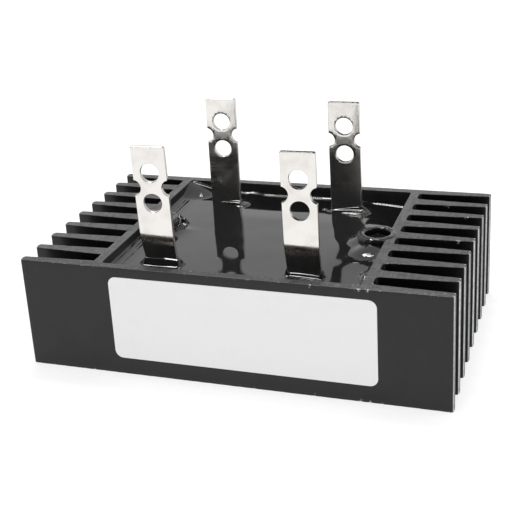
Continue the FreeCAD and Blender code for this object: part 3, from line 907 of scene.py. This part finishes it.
def flatStrip(values, length):
    # The punched strip laid flat, as points (across, along, out of the face) and faces. Each outline is
    # carried from the back face to the front one, with a quarter circle at both edges.
    upper = length - values["wireHoleDrop"]
    places = (upper, upper - values["wireHoleSpacing"])
    loops = [stripOutline(values, length, sum(places) / 2)]
    loops += [circleOutline(0, place, values["wireHole"], values["holePoints"]) for place in places]
    half, rounding = values["thickness"] / 2, values["edgeRound"]
    arc = np.radians([0, 30, 60, 90])
    insets = rounding * (1 - np.sin(arc))
    depths = half - rounding * (1 - np.cos(arc))
    rows = list(zip(np.concatenate([-depths, depths[::-1]]), np.concatenate([insets, insets[::-1]])))
    points, polygons, start, fronts, backs = [], [], 0, [], []
    for loop in loops:
        side = outward(loop)
        wall = np.concatenate([np.column_stack([loop - side * inset, np.full(len(loop), depth)])
                               for depth, inset in rows])
        polygons.append(gridFaces(len(rows), len(loop)) + start)
        points.append(wall)
        backs.append(np.arange(len(loop)) + start)
        fronts.append(backs[-1] + (len(rows) - 1) * len(loop))
        start += len(wall)
    inner = faceGrid(values, length, places)
    shrunk = [part[-len(loop):, :2] for part, loop in zip(points, loops)]
    triangles = fillLoops(shrunk, inner)
    for numbers, depth, flip in ((fronts, half, False), (backs, -half, True)):
        points.append(np.column_stack([inner, np.full(len(inner), depth)]))
        order = np.concatenate([*numbers, np.arange(len(inner)) + start])[triangles]
        polygons.append(order[:, ::-1] if flip else order)
        start += len(inner)
    return np.concatenate(points), polygons


def hangStrip(points, low, high, values, hang):
    # Dents are bells of the height. Then the strip turns about its upright, leans aside and tilts forward,
    # each growing with the height above the epoxy.
    x, y, z = points.T
    lean, turn, tilt, dents = hang
    lift = np.clip(z - pottingTop, 0, None)
    for height, width, depth in dents:
        y = y + depth * np.exp(-((z - height) / width) ** 2)
    turned = np.radians(turn) * np.clip((lift - values["turnFrom"]) / values["turnOver"], 0, 1)
    half = values["thickness"] / 2
    axisX, axisY = (low[0] + high[0]) / 2, low[1] + half if low[1] < 0 else high[1] - half
    deep = y - axisY
    across = x * np.cos(turned) - deep * np.sin(turned)
    deep = x * np.sin(turned) + deep * np.cos(turned)
    x = axisX + across + np.tan(np.radians(lean)) * lift
    return np.column_stack([x, axisY + deep - np.tan(np.radians(tilt)) * lift, z])


def buildTerminal(node, values, hang):
    # The flat strip bent along its side view. The tarnish is a bell of the height, on the front pair only.
    low, high = boxOf(node)
    path = sidePath(values, low, high)
    length = np.linalg.norm(np.diff(path, axis=0), axis=1).sum()
    flat, polygons = flatStrip(values, length)
    points = hangStrip(bendStrip(flat, path), low, high, values, hang)
    piece = buildPiece(node.replace("terminal", "tab"), points, polygons)
    stain = np.exp(-((points[:, 2] - values["tarnishAt"]) / values["tarnishWide"]) ** 2)
    storeValues(piece, "tarnish", stain * (low[1] < 0))
    seat(piece, "tinned_copper", nodeMaterials[node], node)


for node, hang in terminalHang.items():
    buildTerminal(node, terminal, hang)
print("terminals bent and punched")


# The epoxy's top: a level pool that climbs the walls, the bosses and the terminals.
before, beyond = (-31, -30), (30, 31)  # outside the pool, for a shelf with no near or no far end
pool = {
    "level": 0.05,
    "frontLevel": 0.33,
    "depth": 0.12,
    "seatIn": 0.03,
    "underRim": 0.2,
    # climbs, as distances and the heights there
    "wallSteps": ([0, 0.1, 0.22, 0.36, 0.52, 0.72, 1.3], [0.5, 0.4, 0.24, 0.09, 0.04, 0.01, 0]),
    "sideSteps": ([0, 0.7, 1.5, 3.0], [0.36, 0.22, 0.09, 0]),
    "ridgeSteps": ([-0.9, 0, 0.12, 0.24, 0.4], [0.28, 0.25, 0.13, 0.01, 0]),
    "ridgeLine": (0.65, 0.2, 15.8),  # distance from the back wall, its growth along X, and where from
    "ridgeX": (14.5, 16.5),
    "bossRise": 0.8,
    "bossReach": 1.3,
    # shelves: (height, X it sets in over, Y it sets in over, Y it ends over)
    "wallFade": (0.9, (13, 16), (11, 17), beyond),
    "sideFade": (1.0, (0, 1), (12, 18), beyond),
    "bossFade": (0.85, before, (0, 2.5), beyond),
    "levelFade": (1.0, (-14, -9), (8, 18), beyond),
    "shelves": [
        (0.5, (8, 24), (-14, 0), (1, 16)),
        (0.45, (16.2, 18.4), (-3, 2.5), (3, 13)),
    ],
    "frontDip": (0.36, (10, 18.5), before, (-20, -7)),
    # unevenness: (share or height, size, seed)
    "wallUneven": (0.08, 5.0, 3),
    "bossUneven": (0.25, 3.0, 5),
    "ridgeUneven": (0.1, 2.5, 6),
    "collarWide": (0.05, 1.7, 7),
    "collarHigh": (0.04, 2.6, 8),
    "lumpUneven": (0.16, 1.7, 21),
    "swells": [(0.035, 9.0, 9), (0.014, 4.0, 10)],
    "collarSag": 0.07,
    "collarGrows": (-1.1, 1.1),  # places across the strip, from -1 at its left edge to 1 at its right
    "collarEdge": (0.84, 1.0),
    "collars": {
        # terminal: heights above the pool at distances from the strip, how the distances and the heights
        # grow from the strip's left side to its right, and by what share its two edges rise higher
        "terminal_ac_left": (
            [0, 0.31, 1.26], [1.66, 1.39, 0], (1.0, 1.0), (1.0, 1.0), 0.0),
        "terminal_positive": (
            [0, 0.15, 0.6], [0.88, 0.75, 0], (1.0, 1.0), (1.0, 1.0), 1.1),
        "terminal_negative": (
            [0, 0.08, 0.16, 0.3, 0.5, 1.25, 1.42, 1.6, 1.9],
            [0.95, 0.88, 0.8, 0.52, 0.44, 0.3, 0.155, 0.02, 0], (0.2, 1.25), (0.12, 1.1), 0.0),
        "terminal_ac_right": (
            [0, 0.08, 0.16, 0.3, 0.5, 1.45, 1.62, 1.8, 2.1],
            [0.95, 0.88, 0.8, 0.52, 0.44, 0.3, 0.155, 0.02, 0], (0.55, 1.1), (0.4, 1.35), 0.0),
    },
    "lumps": [
        # (x, y, half length, half width, turn in degrees, height)
        (-24.1, 22.7, 8.0, 6.5, 0, 1.6),
        (-20.6, 19.1, 0.8, 0.7, 20, 0.25),
        (-20.7, 6.4, 1.1, 0.8, -40, 0.8),
        (-18.6, 3.9, 1.3, 1.0, -20, 1.2),
        (-18.0, 0.6, 1.0, 1.4, 0, 1.1),
        (20.9, -4.9, 3.4, 3.3, -10, 0.73),
        (21.4, -6.45, 2.4, 0.3, 5, 0.034),
        (23.0, -14.5, 1.0, 2.6, 0, 0.8),
        (15.6, 16.9, 1.1, 1.0, 0, 0.5),
        (7.3, 17.0, 0.7, 0.8, 0, 0.3),
        (-9.6, 22.6, 2.4, 4.8, 0, 0.35),
    ],
    "smallLump": 4.0,  # lumps of a lesser half length have uneven outlines
    # mesh: gaps of the rings of points, then the two grids between them
    "wallRings": (0.1, 0.22, 0.36, 0.52, 0.72),
    "stripRings": (0.07, 0.15, 0.23, 0.31, 0.4, 0.5, 0.62, 0.76, 0.92, 1.1),
    "ringSteps": 5,
    "spacing": 0.23,
    "fineSpacing": 0.13,
    "shift": 0.1,
    "fromWall": 0.85,
    "fromStrip": 1.2,
    # the fine grid lies round the strips, in the corner past this x and y, and in a circle (x, y, radius)
    "fineStrip": 2.6,
    "fineCorner": (14, 18.5),
    "fineCircle": (21.4, -6.4, 2.5),
}


def stripFootprint(node):
    # Middle of a terminal where it leaves the epoxy, which on the front pair is behind the set-out.
    low, high = boxOf(node)
    half = terminal["thickness"] / 2
    y = low[1] + half + terminal["setOut"] if low[1] < 0 else high[1] - half
    return np.array([(low[0] + high[0]) / 2, y])


footprints = {node: stripFootprint(node) for node in terminalHang}
stripHalf = np.array([terminal["width"], terminal["thickness"]]) / 2


def boxDistance(x, y, centre, half):
    # Distance to a rectangle's edge from outside it.
    dx, dy = np.abs(x - centre[0]) - half[0], np.abs(y - centre[1]) - half[1]
    return np.hypot(np.maximum(dx, 0), np.maximum(dy, 0))


def uneven(x, y, share, size, seed):
    # 1, more or less by the share times a noise.
    return 1 + share * planeNoise(x, y, size, seed)


def shelf(x, y, height, xFrom, yFrom, yEnd):
    # A height times a smooth step along X, one along Y, and 1 less another along Y.
    return height * ease(x, *xFrom) * ease(y, *yFrom) * (1 - ease(y, *yEnd))


def collarHeight(x, y, values, node):
    # The drawn profile, stretched and raised along the strip; noise varies round the strip but not outward.
    distances, heights, widen, lift, edgeRise = values["collars"][node]
    centre = footprints[node]
    gap = boxDistance(x, y, centre, stripHalf)
    nearX = np.clip(x, centre[0] - stripHalf[0], centre[0] + stripHalf[0])
    nearY = np.clip(y, centre[1] - stripHalf[1], centre[1] + stripHalf[1])
    across = (nearX - centre[0]) / stripHalf[0]
    share = ease(across, *values["collarGrows"])
    wider = (widen[0] + (widen[1] - widen[0]) * share) * uneven(nearX, nearY, *values["collarWide"])
    higher = (lift[0] + (lift[1] - lift[0]) * share) * uneven(nearX, nearY, *values["collarHigh"])
    higher = higher - values["collarSag"] * across ** 2
    higher = higher * (1 + edgeRise * ease(np.abs(across), *values["collarEdge"]))
    return np.interp(gap / wider, distances, heights) * higher


def lumpHeight(x, y, values, lump):
    # rise * (1 - q) squared, where q is the squared distance in units of the lump's half length and width.
    lumpX, lumpY, halfLong, halfWide, turn, rise = lump
    cos, sin = np.cos(np.radians(turn)), np.sin(np.radians(turn))
    dx, dy = x - lumpX, y - lumpY
    q = ((dx * cos + dy * sin) / halfLong) ** 2 + ((dy * cos - dx * sin) / halfWide) ** 2
    if halfLong < values["smallLump"]:
        q = q * uneven(x, y, *values["lumpUneven"])
    return rise * np.clip(1 - q, 0, 1) ** 2


def poolHeight(x, y, values, body):
    # The climbs at walls and bosses, a level that falls to the back right, with shelves on it, and a ridge
    # along the back wall's right end. The collars join as the root of the sum of squares. Then come the
    # lumps, a dip at the front right and a faint swell.
    halfX, halfY = cavityCorner(body)
    sideWall, backWall = np.maximum(halfX - np.abs(x), 0), np.maximum(halfY - np.abs(y), 0)
    height = np.interp(np.minimum(sideWall, backWall), *values["wallSteps"])
    height = height * (1 - shelf(x, y, *values["wallFade"])) * uneven(x, y, *values["wallUneven"])
    height = height + np.interp(sideWall, *values["sideSteps"]) * (1 - shelf(x, y, *values["sideFade"]))
    rise = values["bossRise"] * uneven(x, y, *values["bossUneven"]) * (1 - shelf(x, y, *values["bossFade"]))
    for side in (1, -1):
        ring = np.maximum(np.hypot(x - side * body["screwX"], y) - body["bossRadius"], 0)
        height = np.maximum(height, rise * np.exp(-ring / values["bossReach"]))
    height = height + values["frontLevel"] * (1 - shelf(x, y, *values["levelFade"]))
    for row in values["shelves"]:
        height = height + shelf(x, y, *row)
    away, growth, growsFrom = values["ridgeLine"]
    share, size, seed = values["ridgeUneven"]
    ridge = backWall - away - growth * (x - growsFrom) + share * planeNoise(x, y, size, seed)
    height = height + np.interp(ridge, *values["ridgeSteps"]) * ease(x, *values["ridgeX"]) * (y > 0)
    for node in values["collars"]:
        height = np.hypot(height, collarHeight(x, y, values, node))
    for lump in values["lumps"]:
        height = height + lumpHeight(x, y, values, lump)
    height = height - shelf(x, y, *values["frontDip"])
    for share, size, seed in values["swells"]:
        height = height + share * planeNoise(x, y, size, seed)
    return np.minimum(pottingTop + values["level"] + height, rimTop - values["underRim"])


def poolGrid(values, body):
    # Points inside the pool's outline: rings close round the walls and the strips, and two grids between.
    rings = [cavityOutline(body, -gap) for gap in values["wallRings"]]
    for centre in footprints.values():
        for gap in values["stripRings"]:
            corners = np.array([(-1, -1), (1, -1), (1, 1), (-1, 1)]) * (stripHalf + gap) + centre
            rings.append(evenLoop(roundLoop(corners, gap, values["ringSteps"]), values["fineSpacing"]))
    halfX, halfY = cavityCorner(body)
    circleX, circleY, circleRadius = values["fineCircle"]
    cornerX, cornerY = values["fineCorner"]
    for spacing, near in ((values["spacing"], False), (values["fineSpacing"], True)):
        grid = np.meshgrid(np.arange(-halfX, halfX, spacing), np.arange(-halfY, halfY, spacing))
        x, y = (part.ravel() + values["shift"] for part in grid)
        inside = (np.abs(x) < halfX - values["fromWall"]) & (np.abs(y) < halfY - values["fromWall"])
        for side in (1, -1):
            inside &= np.hypot(x - side * body["screwX"], y) > body["bossRadius"] + values["fromWall"]
        gap = np.min([boxDistance(x, y, centre, stripHalf) for centre in footprints.values()], axis=0)
        fine = (gap < values["fineStrip"]) | ((x > cornerX) & (y > cornerY))
        fine |= np.hypot(x - circleX, y - circleY) < circleRadius
        inside &= (gap > values["fromStrip"]) & (fine == near)
        rings.append(np.stack([x[inside], y[inside]], 1))
    return np.concatenate(rings)


def buildPool(values, body):
    # The surface, a flat underside inside the cast block, and sides round every outline.
    margin = values["seatIn"]
    loops = [cavityOutline(body, margin)[::-1]]
    for centre in footprints.values():
        box = np.array([(-1, -1), (-1, 1), (1, 1), (1, -1)]) * (stripHalf - margin) + centre
        loops.append(evenLoop(box, values["fineSpacing"]))
    inner = poolGrid(values, body)
    triangles = fillLoops(loops, inner)
    flatPoints = np.concatenate([*loops, inner])
    top = np.column_stack([flatPoints, poolHeight(flatPoints[:, 0], flatPoints[:, 1], values, body)])
    rim = np.concatenate(loops)
    under = np.column_stack([rim, np.full(len(rim), pottingTop - values["depth"])])
    underTriangles = fillLoops(loops)[:, ::-1] + len(top)
    sides, start = [], 0
    for loop in loops:
        number = np.arange(len(loop)) + start
        following = (number - start + 1) % len(loop) + start
        sides.append(np.stack([number + len(top), following + len(top), following, number], 1))
        start += len(loop)
    piece = buildPiece("epoxy_top", np.concatenate([top, under]),
                       [triangles, underTriangles, np.concatenate(sides)], (1, 2))
    seat(piece, "potting", epoxyMaterial)
    print("epoxy top:", len(triangles), "triangles")


buildPool(pool, extrusion)


# The epoxy that ran over each boss: a glossy skin on its ring and its side, uneven all round.
bossFilm = {
    # side view as (radius, height above the rim), from inside the hole over the ring and down the outside
    "skin": [(2.36, -1.2), (2.36, -0.25), (2.42, 0.02), (2.62, 0.16), (3.0, 0.2), (3.35, 0.14),
             (3.62, -0.05), (3.78, -0.4), (3.8, -1.2), (3.84, -1.9), (4.0, -2.4), (4.3, -2.75)],
    "back": [(4.3, -3.0), (3.3, -3.0), (3.3, -1.2)],
    "unevenOut": 0.1,
    "unevenUp": 0.07,
    "unevenFrom": (3, 9),  # points of the side view over which the unevenness sets in
    "lumpSize": 1.3,
    "fineSize": 0.6,
    "fineShare": 0.4,
    "closing": 0.5,  # radians over which it fades at the turn's start and end, so that they meet
    "upAbove": -1.0,  # the height from which it moves the skin up and down too
    "alongCount": 34,
    "aroundCount": 96,
}


def buildBossFilm(values, body, name, side, seed):
    # Each point of the side view turns about the hole; noise on the turned surface moves it out and up.
    skin = np.array(values["skin"])
    row = np.linspace(0, len(skin) - 1, values["alongCount"])
    skin = np.stack([np.interp(row, np.arange(len(skin)), skin[:, axis]) for axis in (0, 1)], 1)
    profile = np.concatenate([skin, values["back"]])
    moved = ease(np.arange(len(skin)), *values["unevenFrom"])
    moved = np.concatenate([moved, np.zeros(len(values["back"]))])[:, None]
    angle = np.linspace(0, 2 * np.pi, values["aroundCount"], endpoint=False)
    radius, around = np.meshgrid(profile[:, 0], angle * body["bossRadius"], indexing="ij")
    height = profile[:, 1:] * np.ones_like(around)
    fade = ease(np.abs(angle - np.pi), np.pi, np.pi - values["closing"])
    lump = planeNoise(around, height, values["lumpSize"], seed) * fade
    fine = planeNoise(around, height, values["fineSize"], seed + 1) * values["fineShare"] * fade
    radius = radius + values["unevenOut"] * (lump + fine) * moved
    up = height + values["unevenUp"] * (lump - fine) * moved * (height > values["upAbove"])
    x = side * body["screwX"] + radius * np.cos(angle)
    points = np.stack([x, radius * np.sin(angle), rimTop + up], -1).reshape(-1, 3)
    quads = gridFaces(len(profile), len(angle), closedRows=True)
    piece = buildPiece(name, points, [quads[:, ::-1]])
    seat(piece, "potting", epoxyMaterial)


for name, side, seed in (("boss_film_right", 1, 31), ("boss_film_left", -1, 41)):
    buildBossFilm(bossFilm, extrusion, name, side, seed)
print("boss films built")
